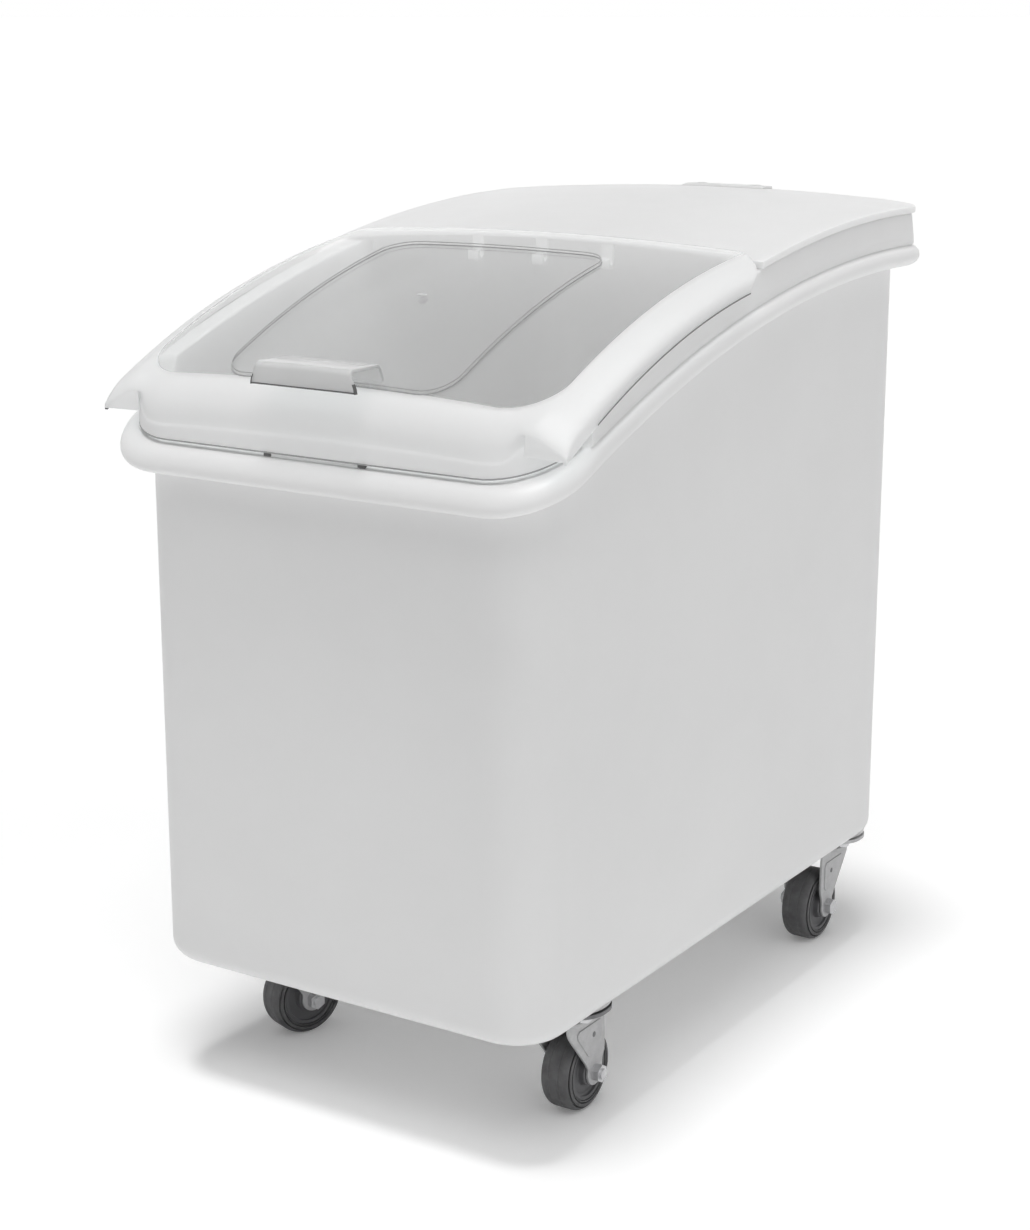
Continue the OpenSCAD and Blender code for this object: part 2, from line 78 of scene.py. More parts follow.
SEAM_Z = rim_z(0, REAR_TOP_H) + REST_GAP
CLEAR_CZ = SEAM_Z + CLEAR_T - math.sqrt(CLEAR_R ** 2 - CLEAR_Y ** 2)


def clear_z(y, drop):
    """Height of the clear lid's outer face, a drop below its middle line."""
    return CLEAR_CZ + math.sqrt((CLEAR_R - drop) ** 2 - (y - CLEAR_Y) ** 2)


def crown_drop(x, half, rise):
    """Fall at x of a crown with a rise over its half width."""
    r = (half * half + rise * rise) / (2 * rise)
    return r - math.sqrt(r * r - x * x)


def smooth(a, b, x):
    """Step that rises smoothly from nought at a to one at b."""
    t = max(0.0, min(1.0, (x - a) / (b - a)))
    return t * t * (3 - 2 * t)


# Materials
def node_material(name):
    mat = bpy.data.materials.new(name)
    mat.use_nodes = True
    tree = mat.node_tree
    bsdf = tree.nodes["Principled BSDF"]
    coord = tree.nodes.new("ShaderNodeTexCoord")
    return mat, tree, bsdf, coord.outputs["Object"]


def noise(tree, coord, scale, detail=3.0, rough=0.5, stretch=None):
    tex = tree.nodes.new("ShaderNodeTexNoise")
    tex.inputs["Scale"].default_value = scale
    tex.inputs["Detail"].default_value = detail
    tex.inputs["Roughness"].default_value = rough
    if stretch:
        mapping = tree.nodes.new("ShaderNodeMapping")
        mapping.inputs["Scale"].default_value = stretch
        tree.links.new(coord, mapping.inputs["Vector"])
        coord = mapping.outputs["Vector"]
    tree.links.new(coord, tex.inputs["Vector"])
    return tex.outputs["Fac"]


def ramp(tree, value, low, high, a, b):
    """Tone that goes from low to high as the value goes from a to b."""
    node = tree.nodes.new("ShaderNodeValToRGB")
    for stop, spot, tone in zip(node.color_ramp.elements, (a, b), (low, high)):
        stop.position = spot
        stop.color = (*tone, 1) if isinstance(tone, tuple) else (tone, tone, tone, 1)
    tree.links.new(value, node.inputs["Fac"])
    return node.outputs["Color"]


def bump(tree, value, bsdf, strength, distance):
    node = tree.nodes.new("ShaderNodeBump")
    node.inputs["Strength"].default_value = strength
    node.inputs["Distance"].default_value = distance
    tree.links.new(value, node.inputs["Height"])
    tree.links.new(node.outputs["Normal"], bsdf.inputs["Normal"])


def moulded_plastic(name, low, high, rough_low, rough_high, grain, depth=0.0):
    mat, tree, bsdf, coord = node_material(name)
    tone = ramp(tree, noise(tree, coord, 5, 4, 0.6), low, high, 0.35, 0.65)
    tree.links.new(tone, bsdf.inputs["Base Color"])
    sheen = ramp(tree, noise(tree, coord, 38, 5, 0.65), rough_low, rough_high, 0.3, 0.7)
    tree.links.new(sheen, bsdf.inputs["Roughness"])
    bsdf.inputs["IOR"].default_value = 1.5
    if depth:
        bsdf.inputs["Subsurface Weight"].default_value = 1.0
        bsdf.inputs["Subsurface Radius"].default_value = (1, 1, 1)
        bsdf.inputs["Subsurface Scale"].default_value = depth
    bump(tree, noise(tree, coord, grain, 2, 0.5), bsdf, 0.08, 0.0004)
    return mat


def math_node(tree, kind, a, b=None):
    """Result of one sum in the node tree, on numbers or sockets."""
    node = tree.nodes.new("ShaderNodeMath")
    node.operation = kind
    for socket, value in zip(node.inputs, (a, b)):
        if isinstance(value, (int, float)):
            socket.default_value = value
        elif value is not None:
            tree.links.new(value, socket)
    return node.outputs[0]


# Border of the clear lid, in metres: half width, front and corner radius of the crown inside it
BORDER = (0.2065, 0.3345, 0.045)
BORDER_BLUR = 0.0015
BORDER_SHARE, BORDER_ROUGH = 0.4, 0.6


def border_mask(tree, coord, half, front, radius):
    """Nought over the lid's crown, and one past its shoulders and front crease."""
    split = tree.nodes.new("ShaderNodeSeparateXYZ")
    tree.links.new(coord, split.inputs[0])
    across = math_node(tree, "ABSOLUTE", split.outputs["X"])
    across = math_node(tree, "SUBTRACT", across, half - radius)
    along = math_node(tree, "MULTIPLY", split.outputs["Y"], -1.0)
    along = math_node(tree, "SUBTRACT", along, front - radius)
    across = math_node(tree, "MAXIMUM", across, 0.0)
    along = math_node(tree, "MAXIMUM", along, 0.0)
    across = math_node(tree, "MULTIPLY", across, across)
    along = math_node(tree, "MULTIPLY", along, along)
    square = math_node(tree, "ADD", across, along)
    past = math_node(tree, "SUBTRACT", math_node(tree, "SQRT", square), radius)
    span = tree.nodes.new("ShaderNodeMapRange")
    span.inputs["From Min"].default_value = -BORDER_BLUR
    span.inputs["From Max"].default_value = BORDER_BLUR
    tree.links.new(past, span.inputs["Value"])
    return span.outputs["Result"]


def blend(tree, first, second, factor, output="Material Output"):
    """Surface that goes from the first shader to the second with the factor."""
    mix = tree.nodes.new("ShaderNodeMixShader")
    if isinstance(factor, (int, float)):
        mix.inputs["Fac"].default_value = factor
    else:
        tree.links.new(factor, mix.inputs["Fac"])
    tree.links.new(first.outputs[0], mix.inputs[1])
    tree.links.new(second.outputs[0], mix.inputs[2])
    tree.links.new(mix.outputs[0], tree.nodes[output].inputs["Surface"])


def mixed(tree, factor, low, high):
    """Value that goes from low to high with the factor."""
    node = tree.nodes.new("ShaderNodeMix")
    node.data_type = "FLOAT"
    tree.links.new(factor, node.inputs["Factor"])
    for socket, value in ((node.inputs["A"], low), (node.inputs["B"], high)):
        if isinstance(value, (int, float)):
            socket.default_value = value
        else:
            tree.links.new(value, socket)
    return node.outputs["Result"]


def clear_plastic(name, tone, share, border=False):
    """Clear moulding that lets a share of light through. A border is frosted past the crown."""
    mat, tree, bsdf, coord = node_material(name)
    bsdf.inputs["Base Color"].default_value = (tone, tone, tone, 1)
    bsdf.inputs["IOR"].default_value = 1.46
    haze = ramp(tree, noise(tree, coord, 60, 4, 0.6), 0.02, 0.06, 0.4, 0.75)
    if border:
        mask = border_mask(tree, coord, *BORDER)
        through = mixed(tree, mask, share, BORDER_SHARE)
        tree.links.new(through, bsdf.inputs["Transmission Weight"])
        tree.links.new(mixed(tree, mask, haze, BORDER_ROUGH), bsdf.inputs["Roughness"])
    else:
        bsdf.inputs["Transmission Weight"].default_value = share
        tree.links.new(haze, bsdf.inputs["Roughness"])
    # Lamps and bounced light pass straight through, so that the inside is lit
    rays = tree.nodes.new("ShaderNodeLightPath")
    clear = tree.nodes.new("ShaderNodeBsdfTransparent")
    clear.inputs["Color"].default_value = (0.94, 0.95, 0.95, 1)
    either = math_node(tree, "MAXIMUM", rays.outputs["Is Shadow Ray"],
                       rays.outputs["Is Diffuse Ray"])
    blend(tree, bsdf, clear, either)
    return mat


def thin_veil(name, tone, share):
    """Clear sheet that is seen only by a faint sheen, and bends no light."""
    mat, tree, bsdf, coord = node_material(name)
    haze = noise(tree, coord, 60, 4, 0.6)
    tint = ramp(tree, haze, tone - 0.03, tone + 0.03, 0.4, 0.75)
    tree.links.new(tint, bsdf.inputs["Base Color"])
    tree.links.new(ramp(tree, haze, 0.04, 0.08, 0.4, 0.75), bsdf.inputs["Roughness"])
    clear = tree.nodes.new("ShaderNodeBsdfTransparent")
    blend(tree, clear, bsdf, share)
    return mat


def zinc(name, low, high, rough_low, rough_high, metal=1.0):
    mat, tree, bsdf, coord = node_material(name)
    bsdf.inputs["Metallic"].default_value = metal
    tone = ramp(tree, noise(tree, coord, 90, 5, 0.7), low, high, 0.3, 0.7)
    tree.links.new(tone, bsdf.inputs["Base Color"])
    brushed = noise(tree, coord, 160, 4, 0.6, (1, 1, 6))
    sheen = ramp(tree, brushed, rough_low, rough_high, 0.3, 0.7)
    tree.links.new(sheen, bsdf.inputs["Roughness"])
    bump(tree, brushed, bsdf, 0.06, 0.0003)
    return mat


def tyre_rubber(name, low, high):
    mat, tree, bsdf, coord = node_material(name)
    tone = ramp(tree, noise(tree, coord, 70, 5, 0.65), low, high, 0.3, 0.75)
    tree.links.new(tone, bsdf.inputs["Base Color"])
    worn = ramp(tree, noise(tree, coord, 130, 4, 0.6), 0.5, 0.72, 0.3, 0.7)
    tree.links.new(worn, bsdf.inputs["Roughness"])
    bump(tree, noise(tree, coord, 900, 3, 0.6), bsdf, 0.15, 0.0003)
    return mat


def grey(tone, blue=0.0):
    """Colour of one tone, with a little more blue if asked."""
    return tone, tone, tone + blue


TUB_WHITE = moulded_plastic("tub_white", grey(0.84), grey(0.86), 0.34, 0.46, 700, 0.006)
LID_WHITE = moulded_plastic("lid_white", grey(0.85), grey(0.87), 0.36, 0.48, 800, 0.01)
LID_CLEAR = clear_plastic("lid_clear", 0.96, 0.84, True)
LID_PANEL = thin_veil("lid_panel", 0.8, 0.07)
# The pull's plastic is greyer than the lid's clear plastic: its lower tone paints the shade its
# front face stands in
LID_PULL_SHADED = clear_plastic("lid_pull_shaded", 0.76, 0.45)
# Grey plastic for thin lines that paint shade: the dark slit under the skirt's foot and the shade
# at the edges of the panel's step
LID_SHADE_LINE = moulded_plastic("lid_shade_line", grey(0.34), grey(0.40), 0.2, 0.3, 700)
# Near-black plastic for strips that paint shade: the gap shadows along the wings' lips, beside the
# rest tab and under the finger pull, and the shade at the pull's lower ends
LID_SHADE_DARK = moulded_plastic("lid_shade_dark", grey(0.09), grey(0.13), 0.2, 0.3, 700)
# Dark zinc that paints shade: the front caster plates in the shadow under the tub, and the holes in
# the fork legs' pads
SHADED_ZINC = zinc("zinc_plate", grey(0.13, 0.005), grey(0.20, 0.005), 0.4, 0.55, 0.8)
ZINC_FORK = zinc("zinc_fork", grey(0.43, 0.005), grey(0.52, 0.005), 0.5, 0.64, 0.6)
ZINC_BOLT = zinc("zinc_bolt", grey(0.50, 0.01), grey(0.64, 0.01), 0.26, 0.42)
CORE_GREY = moulded_plastic("wheel_core", grey(0.10, 0.005), grey(0.14, 0.005), 0.42, 0.58, 900)
TYRE_GREY = tyre_rubber("tyre", grey(0.085, 0.002), grey(0.14, 0.003))


# Mesh tools
def make(name, verts, faces, mat, body, slot,
         thick=0, bevel=0, sharp=38, segments=3, limit=38):
    """One piece of the looks, with its material, that rides on a body. Its slot is not used."""
    mesh = bpy.data.meshes.new(name)
    mesh.from_pydata([Vector(v) * MM for v in verts], [], faces)
    bm = bmesh.new()
    bm.from_mesh(mesh)
    bmesh.ops.remove_doubles(bm, verts=bm.verts, dist=2e-6)
    bmesh.ops.recalc_face_normals(bm, faces=bm.faces)
    bm.to_mesh(mesh)
    bm.free()
    obj = bpy.data.objects.new(name, mesh)
    bpy.context.scene.collection.objects.link(obj)
    if thick:
        mod = obj.modifiers.new("thick", "SOLIDIFY")
        mod.thickness = thick * MM
        mod.offset = -1
        mod.use_even_offset = True
    if bevel:
        mod = obj.modifiers.new("edge", "BEVEL")
        mod.width = bevel * MM
        mod.segments = segments
        mod.limit_method = "ANGLE"
        mod.angle_limit = math.radians(limit)
        mod.harden_normals = False
    if thick or bevel:
        bpy.context.view_layer.update()
        deps = bpy.context.evaluated_depsgraph_get()
        applied = bpy.data.meshes.new_from_object(obj.evaluated_get(deps))
        obj.modifiers.clear()
        obj.data = applied
    for poly in obj.data.polygons:
        poly.use_smooth = True
    obj.data.set_sharp_from_angle(angle=math.radians(sharp))
    obj.data.materials.clear()
    obj.data.materials.append(mat)
    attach(obj, body)
    return obj


def loft(rings, closed=True, caps=(False, False), wrap=False):
    """Points and faces of a skin over rings of equally many points."""
    n = len(rings[0])
    verts = [p for ring in rings for p in ring]
    faces = []
    rows = len(rings)
    for i in range(rows if wrap else rows - 1):
        a, b = i * n, ((i + 1) % rows) * n
        for k in range(n if closed else n - 1):
            j = (k + 1) % n
            faces.append((a + k, a + j, b + j, b + k))
    if caps[0]:
        faces.append(tuple(range(n))[::-1])
    if caps[1]:
        faces.append(tuple((rows - 1) * n + k for k in range(n)))
    return verts, faces


def add(target, extra):
    """Joins a second skin to the first."""
    base = len(target[0])
    target[0].extend(extra[0])
    target[1].extend(tuple(base + i for i in f) for f in extra[1])


def plate(top, bottom):
    """Closed skin between two grids of equal size, given as rows of points."""
    rows, cols = len(top), len(top[0])
    verts = [p for row in top for p in row] + [p for row in bottom for p in row]
    base = rows * cols
    faces = []
    for i in range(rows - 1):
        for k in range(cols - 1):
            q = (i * cols + k, i * cols + k + 1, (i + 1) * cols + k + 1, (i + 1) * cols + k)
            faces.append(q)
            faces.append(tuple(base + v for v in q[::-1]))
    edge = list(range(cols))
    edge += [i * cols + cols - 1 for i in range(1, rows)]
    edge += [(rows - 1) * cols + k for k in range(cols - 2, -1, -1)]
    edge += [i * cols for i in range(rows - 2, 0, -1)]
    for a, b in zip(edge, edge[1:] + edge[:1]):
        faces.append((a, base + a, base + b, b))
    return verts, faces


def lathe(profile, count=64, centre=(0, 0, 0), axis="Z"):
    """Closed turned skin from a loop of (radius, height) points."""
    rings = []
    for k in range(count):
        a = 2 * math.pi * k / count
        ring = []
        for r, h in profile:
            p = (r * math.cos(a), r * math.sin(a), h)
            if axis == "X":
                p = (h, r * math.cos(a), r * math.sin(a))
            ring.append(tuple(c + v for c, v in zip(centre, p)))
        rings.append(ring)
    return loft(rings, closed=True, wrap=True)


def arc(cx, cy, r, a0, a1, n):
    """Points of an arc from one angle to another, in degrees."""
    angles = [math.radians(a0 + (a1 - a0) * i / n) for i in range(n + 1)]
    return [(cx + r * math.cos(a), cy + r * math.sin(a)) for a in angles]


def bar(rings):
    """Closed skin over rings, with both ends capped."""
    return loft(rings, closed=True, caps=(True, True))


def extrude(outline, x0, x1):
    """Closed prism across X from an outline of (y, z) points."""
    return bar([[(x, y, z) for y, z in outline] for x in (x0, x1)])


# Tub
SIDE_T = [-1, -0.983, -0.977, -0.971, -0.965, -0.959, -0.95, -0.92, -0.86]
SIDE_T += [-0.8 + 1.8 * i / 30 for i in range(31)]
END_S = [1 - 2 * i / 14 for i in range(15)]
CORNER_N = 14
# The collar rises between these two places along a side
COLLAR_FROM, COLLAR_TO = -0.979, -0.957
# Height of the inner edge at the front and at the collar
FRONT_INNER_H, COLLAR_INNER_H = 36.5, 48.6
BEAD_FILLET = 4


def stations():
    """Places round the tub: each is a side, with its place along it."""
    out = [("right", t) for t in SIDE_T]
    out += [("corner", 90 * i / CORNER_N) for i in range(1, CORNER_N)]
    out += [("rear", s) for s in END_S]
    out += [("corner", 90 + 90 * i / CORNER_N) for i in range(1, CORNER_N)]
    out += [("left", t) for t in reversed(SIDE_T)]
    out += [("corner", 180 + 90 * i / CORNER_N) for i in range(1, CORNER_N)]
    out += [("front", s) for s in reversed(END_S)]
    out += [("corner", 270 + 90 * i / CORNER_N) for i in range(1, CORNER_N)]
    return out


STATIONS = stations()


def place(station, d):
    """Point of the plan outline that lies d outside the wall."""
    kind, t = station
    r = CORNER_R + (d / 2 if d > 0 else d)
    cx, cy = HALF_W + d - r, HALF_L + d - r
    if kind == "right":
        return HALF_W + d, t * cy
    if kind == "left":
        return -HALF_W - d, t * cy
    if kind == "rear":
        return t * cx, HALF_L + d
    if kind == "front":
        return t * cx, -HALF_L - d
    a = math.radians(t)
    x = math.copysign(cx, math.cos(a)) + r * math.cos(a)
    y = math.copysign(cy, math.sin(a)) + r * math.sin(a)
    return x, y


def collar_share(station):
    """One where the collar stands, nought along the front."""
    kind, t = station
    if kind in ("right", "left"):
        return smooth(COLLAR_FROM, COLLAR_TO, t)
    if kind == "rear":
        return 1.0
    if kind == "front":
        return 0.0
    return 1.0 if 0 <= t <= 180 else 0.0


def build_tub():
    rings = []

    def flat_ring(d, z):
        rings.append([(*place(s, d), z) for s in STATIONS])

    def rim_ring(front, collar):
        ring = []
        for s in STATIONS:
            w = collar_share(s)
            d = front[0] + (collar[0] - front[0]) * w
            h = front[1] + (collar[1] - front[1]) * w
            x, y = place(s, d)
            ring.append((x, y, rim_z(y, h)))
        rings.append(ring)

    def wall_ring(d, share, low, front_h, collar_h):
        ring = []
        for s in STATIONS:
            x, y = place(s, d)
            top = rim_z(y, front_h + (collar_h - front_h) * collar_share(s))
            ring.append((x, y, low + (top - low) * share))
        rings.append(ring)

    # Outside, from the floor up to the bead
    for i in range(7):
        a = math.radians(90 * i / 6)
        flat_ring(FLOOR_R * (math.sin(a) - 1), FLOOR_Z + FLOOR_R * (1 - math.cos(a)))
    for i in range(1, 10):
        wall_ring(0, i / 10, FLOOR_Z + FLOOR_R, -BEAD_FILLET, -BEAD_FILLET)
    for d, h in arc(BEAD_FILLET, -BEAD_FILLET, BEAD_FILLET, 180, 90, 4):
        rim_ring((d, h), (d, h))
    rim_ring((9, 0), (9, 0))
    bead = (BEAD_OUT - BEAD_H / 2, BEAD_H / 2, BEAD_H / 2)
    for d, h in arc(*bead, -90, 45, 10):
        rim_ring((d, h), (d, h))

    # Over the rim: sections of the front lip and of the collar, as (distance out, height)
    front = arc(*bead, 60, 90, 2)
    front += [(8, BEAD_H), (3, BEAD_H), (0.9, 21.9), (0, 24), (0, 31), (0, FRONT_INNER_H)]
    front += [(-0.45, 37.55), (-1.5, LIP_H), (-2.5, LIP_H), (-3.55, 37.55), (-WALL, FRONT_INNER_H)]
    collar = [(18.4, 19.3), (17.6, 20.5), (18.9, 21.8), (18.3, 30), (17.3, 40), (16.5, 47.5)]
    collar += [(16.2, 49.4), (15.6, 50.5), (14.4, COLLAR_H), (11, COLLAR_H), (4, COLLAR_H)]
    collar += [(-1.5, COLLAR_H), (-3.3, 50.3), (-WALL, COLLAR_INNER_H)]
    for f, c in zip(front, collar):
        rim_ring(f, c)

    # Inside, down to the floor
    inner_r = FLOOR_R - WALL
    inner_z = FLOOR_Z + WALL
    for i in range(1, 11):
        wall_ring(-WALL, 1 - i / 11, inner_z + inner_r, FRONT_INNER_H, COLLAR_INNER_H)
    for i in range(7):
        a = math.radians(90 - 90 * i / 6)
        flat_ring(-WALL + inner_r * (math.sin(a) - 1), inner_z + inner_r * (1 - math.cos(a)))
    skin = loft(rings, caps=(True, True))

    # Pads in the floor over the casters
    r, z0, z1, edge = PAD_D / 2, FLOOR_Z + WALL / 2, inner_z + PAD_H, 2
    pad = [(TIP, z0), (r, z0), (r, z1 - edge)] + arc(r - edge, z1 - edge, edge, 0, 90, 4)[1:]
    pad += [(TIP, z1)]
    for x, y, _ in PIVOTS.values():
        add(skin, lathe(pad, 48, (x, y, 0)))
    tub = make("tub_shell", *skin, TUB_WHITE, "tub", "tub_white", sharp=50)
    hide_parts("tub")


# Rear lid
RIB_IN, RIB_T, RIB_DROP, RIB_FRONT, RIB_N = 5, 3, 14, 6, 12
TAB_HALF, TAB_L, TAB_FOOT, TAB_RISE = 47, 24, 0.6, 2.2
MARK_X, MARK_IN = 31, 7.5


def rear_top(x, y, lift=0.0, rise=REAR_TOP_CROWN):
    """Height of a point that lies a lift above the rear lid's crowned top."""
    drop = crown_drop(x, REAR_W, rise)
    return RIM_CZ + math.sqrt((RIM_R + REAR_TOP_H + lift - drop) ** 2 - (y - RIM_Y) ** 2)


def rear_under(x, y, lift):
    """The same for its underside, which is crowned more."""
    return rear_top(x, y, lift, REAR_CROWN)


def rear_rows():
    """Rows of the rear lid, as (y, half width), with rounded rear corners."""
    straight = REAR_L - REAR_R - LID_FRONT
    rows = [(LID_FRONT + straight * i / 26, REAR_W) for i in range(27)]
    for i in range(1, 13):
        a = math.radians(7.5 * i)
        y = REAR_L - REAR_R + REAR_R * math.sin(a)
        rows.append((y, REAR_W - REAR_R + REAR_R * math.cos(a)))
    return rows


def rear_piece(name, skin, **more):
    return make(name, *skin, LID_WHITE, "rear_lid", "lid_white", **more)


def build_rear_lid():
    even = [2 * i / 44 - 1 for i in range(45)]
    cols = [math.sin(math.pi / 2 * u) * 0.35 + u * 0.65 for u in even]
    top, low = [], []
    for y, half in rear_rows():
        top.append([(half * f, y, rear_top(half * f, y)) for f in cols])
        low.append([(half * f, y, rear_under(half * f, y, -REAR_T)) for f in cols])
    lid = rear_piece("rear_lid_shell", plate(top, low), bevel=1.3, sharp=50)
    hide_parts("rear_lid")

    # Locating rib inside the collar, along the sides and the rear
    run = HALF_L - CORNER_R - RIB_FRONT
    path = [(HALF_W - RIB_IN, RIB_FRONT + run * i / RIB_N) for i in range(RIB_N)]
    path += arc(HALF_W - CORNER_R, HALF_L - CORNER_R, CORNER_R - RIB_IN, 0, 90, 10)
    path += [(-x, y) for x, y in reversed(path)]
    rings = []
    for i, (x, y) in enumerate(path):
        a, b = Vector(path[max(0, i - 1)]), Vector(path[min(len(path) - 1, i + 1)])
        along = (b - a).normalized()
        ix, iy = x - RIB_T * along.y, y + RIB_T * along.x
        foot = rear_under(REAR_W, y, 0) - RIB_DROP
        rings.append([(x, y, rear_under(x, y, -2.4)), (x, y, foot),
                      (ix, iy, foot), (ix, iy, rear_under(ix, iy, -2.4))])
    rear_piece("rear_lid_rib", bar(rings), bevel=0.7)

    # Raised tab in the middle of the rear edge, with two shallow round marks
    rows = [REAR_L - TAB_L + (TAB_L + 0.4) * i / 12 for i in range(13)]
    xs = [TAB_HALF * (2 * i / 24 - 1) for i in range(25)]
    top, low = [], []
    for y in rows:
        lift = TAB_FOOT + TAB_RISE * smooth(REAR_L - 25, REAR_L - 12, y)
        top.append([(x, y, rear_top(x, y, lift)) for x in xs])
        low.append([(x, y, rear_top(x, y, -1.5)) for x in xs])
    rear_piece("rear_lid_tab", plate(top, low), bevel=1.2, segments=3)
    for tail, x in (("l", -MARK_X), ("r", MARK_X)):
        y = REAR_L - MARK_IN
        z = rear_top(x, y, TAB_FOOT + TAB_RISE)
        dot = [(TIP, z - 0.8), (5.5, z - 0.8), (5.5, z + 0.05), (5, z + 0.3), (4, z + 0.35)]
        dot += [(TIP, z + 0.25)]
        rear_piece("rear_lid_mark_" + tail, lathe(dot, 32, (x, y, 0)))


HOOK_PITCH, HOOK_HALF, HOOK_T, HOOK_DROP, HOOK_REACH, HOOK_RISE = 70, 6, 4, 26, 8, 10


def build_hooks():
    """Three J hooks under the front edge of the rear lid."""
    t, back, tip_y = HOOK_T, LID_FRONT + HOOK_T, LID_FRONT - HOOK_REACH
    low = rim_z(LID_FRONT, REAR_TOP_H) - HOOK_DROP
    tip_z = low + HOOK_RISE
    for i, x in enumerate((-HOOK_PITCH, 0, HOOK_PITCH)):
        edges = [(x + side * HOOK_HALF, y) for side in (-1, 1) for y in (LID_FRONT, back)]
        top = min(rear_under(ex, ey, -2.6) for ex, ey in edges)
        line = [(back, top), (back, low + 3)] + arc(back - 3, low + 3, 3, 0, -90, 4)[1:]
        line += arc(tip_y + 3, low + 3, 3, -90, -180, 4)
        line += [(tip_y, tip_z - 2)] + arc(tip_y + 2, tip_z - 2, 2, 180, 0, 6)[1:]
        line += [(tip_y + t, low + t + 1), (tip_y + t + 1, low + t)]
        line += [(LID_FRONT - 1.5, low + t), (LID_FRONT, low + t + 1.5), (LID_FRONT, top)]
        skin = extrude(line, x - HOOK_HALF, x + HOOK_HALF)
        hook = rear_piece("lid_hook_%d" % (i + 1), skin, bevel=0.8)
        if i == 0:
            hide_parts("lid_hooks")


# Clear lid
FRONT_ROUND = 22
FRONT_ANGLES = (90, 80, 70, 60, 50, 40, 30, 20, 10, 4, 0)
LID_ROWS = 46
WING_R = 45
# The front edge's round shrinks by a share between these two places across the lid
ROUND_FROM, ROUND_TO, ROUND_LESS = 182, 194, 0.55
SKIRT_R = CORNER_R + SKIRT_OUT
FLAP_X = HALF_W - CORNER_R + math.sqrt(SKIRT_R ** 2 - CORNER_R ** 2)
# Places across half of the crown, then the wing's section as (x, drop below the crown's edge)
CROWN_X = [0, 16, 32, 48, 64, 80, 96, 112, 128, 143, 158, 166, 174, 181, 187, 191]
CROWN_X += [FLAP_X, 197, 201]
WING_SECTION = [(204.5, 0.1), (207.5, 0.7), (211, 2.1), (216, 4.4), (222, 7.1), (227, 9.3)]
WING_SECTION += [(230.3, 11), (232.7, 12.9), (234.3, 15.2), (234.9, 18), (WING_OUT, 21)]
WING_SECTION += [(WING_OUT, WING_DROP + WING_LIP)]
# The skirt's section below its top line, as (share of its height, distance out)
SKIRT_SECTION = [(0.15, 0), (0.28, 0), (0.34, 0.15), (0.4, 0.65), (0.46, 0.8)]
SKIRT_SECTION += [(0.6, 0.8), (0.8, 0.8), (1, 0.8)]
REST_HALF, REST_END = 44, 52
LINE_W, LINE_H = 0.6, 0.5
GATE_Y = -200
# The dark strip along the right wing's lip paints the shadow in the gap over the collar, and starts
# behind this place
RIGHT_SHADE_FRONT = -304


def clear_columns():
    """Places across the clear lid, as (x, drop below the middle line)."""
    half = [(x, crown_drop(x, SHOULDER_X, CROWN)) for x in CROWN_X]
    half += [(x, CROWN + d) for x, d in WING_SECTION]
    return [(-x, d) for x, d in reversed(half[1:])] + half


def front_edge(x):
    """Place of the clear lid's front edge at x."""
    x = abs(x)
    if x <= HALF_W - CORNER_R:
        return -HALF_L - SKIRT_OUT
    if x < FLAP_X:
        return -HALF_L + CORNER_R - math.sqrt(SKIRT_R ** 2 - (x - HALF_W + CORNER_R) ** 2)
    return -HALF_L


def rear_edge(x):
    """Place of its rear edge at x, with rounded corners at the wings."""
    x = abs(x)
    if x <= WING_OUT - WING_R:
        return 0.0
    return -WING_R + math.sqrt(max(0.0, WING_R * WING_R - (x - WING_OUT + WING_R) ** 2))


def front_fall(x, drop, s):
    """Fall of the rounded front edge at a distance s behind it: less at the wings, none at lips."""
    at_wing = 1 - ROUND_LESS * smooth(ROUND_FROM, ROUND_TO, abs(x))
    r = FRONT_ROUND * at_wing * (1 - smooth(CROWN + 12, CROWN + 22, drop))
    t = max(0.0, FRONT_ROUND - s) / FRONT_ROUND
    return r * (1 - math.sqrt(max(0.0, 1 - t * t)))


def skirt_inward(x, y):
    """Level direction from a point of the skirt towards the inside of the lid."""
    cx = math.copysign(min(abs(x), HALF_W - CORNER_R), x)
    return (Vector((cx, max(y, -HALF_L + CORNER_R))) - Vector((x, y))).normalized()


def skirt_foot(y):
    """Height of the skirt's lower edge, which follows the bead."""
    return rim_z(y, LEDGE_H + SKIRT_SLIT)


def over(x, y, lift):
    """Height of a point that lies a lift above the lid's crown."""
    return clear_z(y, crown_drop(x, SHOULDER_X, CROWN)) + lift


def clear_piece(name, skin, mat, **more):
    return make("clear_lid_" + name, *skin, mat, "clear_lid", "lid_clear", **more)


def lid_grid(columns):
    """Columns of points over the lid's outer face, each from the front edge to the rear."""
    near = [FRONT_ROUND * (1 - math.sin(math.radians(a))) for a in FRONT_ANGLES]
    grid = []
    for x, d in columns:
        y0, y1 = front_edge(x), rear_edge(x)
        col = [(x, y0 + s, clear_z(y0 + s, d) - front_fall(x, d, s)) for s in near]
        for i in range(1, LID_ROWS + 1):
            y = y0 + FRONT_ROUND + (y1 - y0 - FRONT_ROUND) * i / LID_ROWS
            col.append((x, y, clear_z(y, d)))
        grid.append(col)
    return grid


def skirt_line(columns, grid):
    """Top line of the skirt: along the front edge, and round the corners under the wings."""
    start = -math.degrees(math.asin(CORNER_R / SKIRT_R))
    corner = arc(HALF_W - CORNER_R, -HALF_L + CORNER_R, SKIRT_R, start, 0, 10)[1:]
    side = [(x, y, clear_z(y, CROWN + 5) - 0.5) for x, y in corner]
    front = [col[0] for (x, _), col in zip(columns, grid) if abs(x) <= FLAP_X + 0.01]
    return [(-x, y, z) for x, y, z in reversed(side)] + front + side


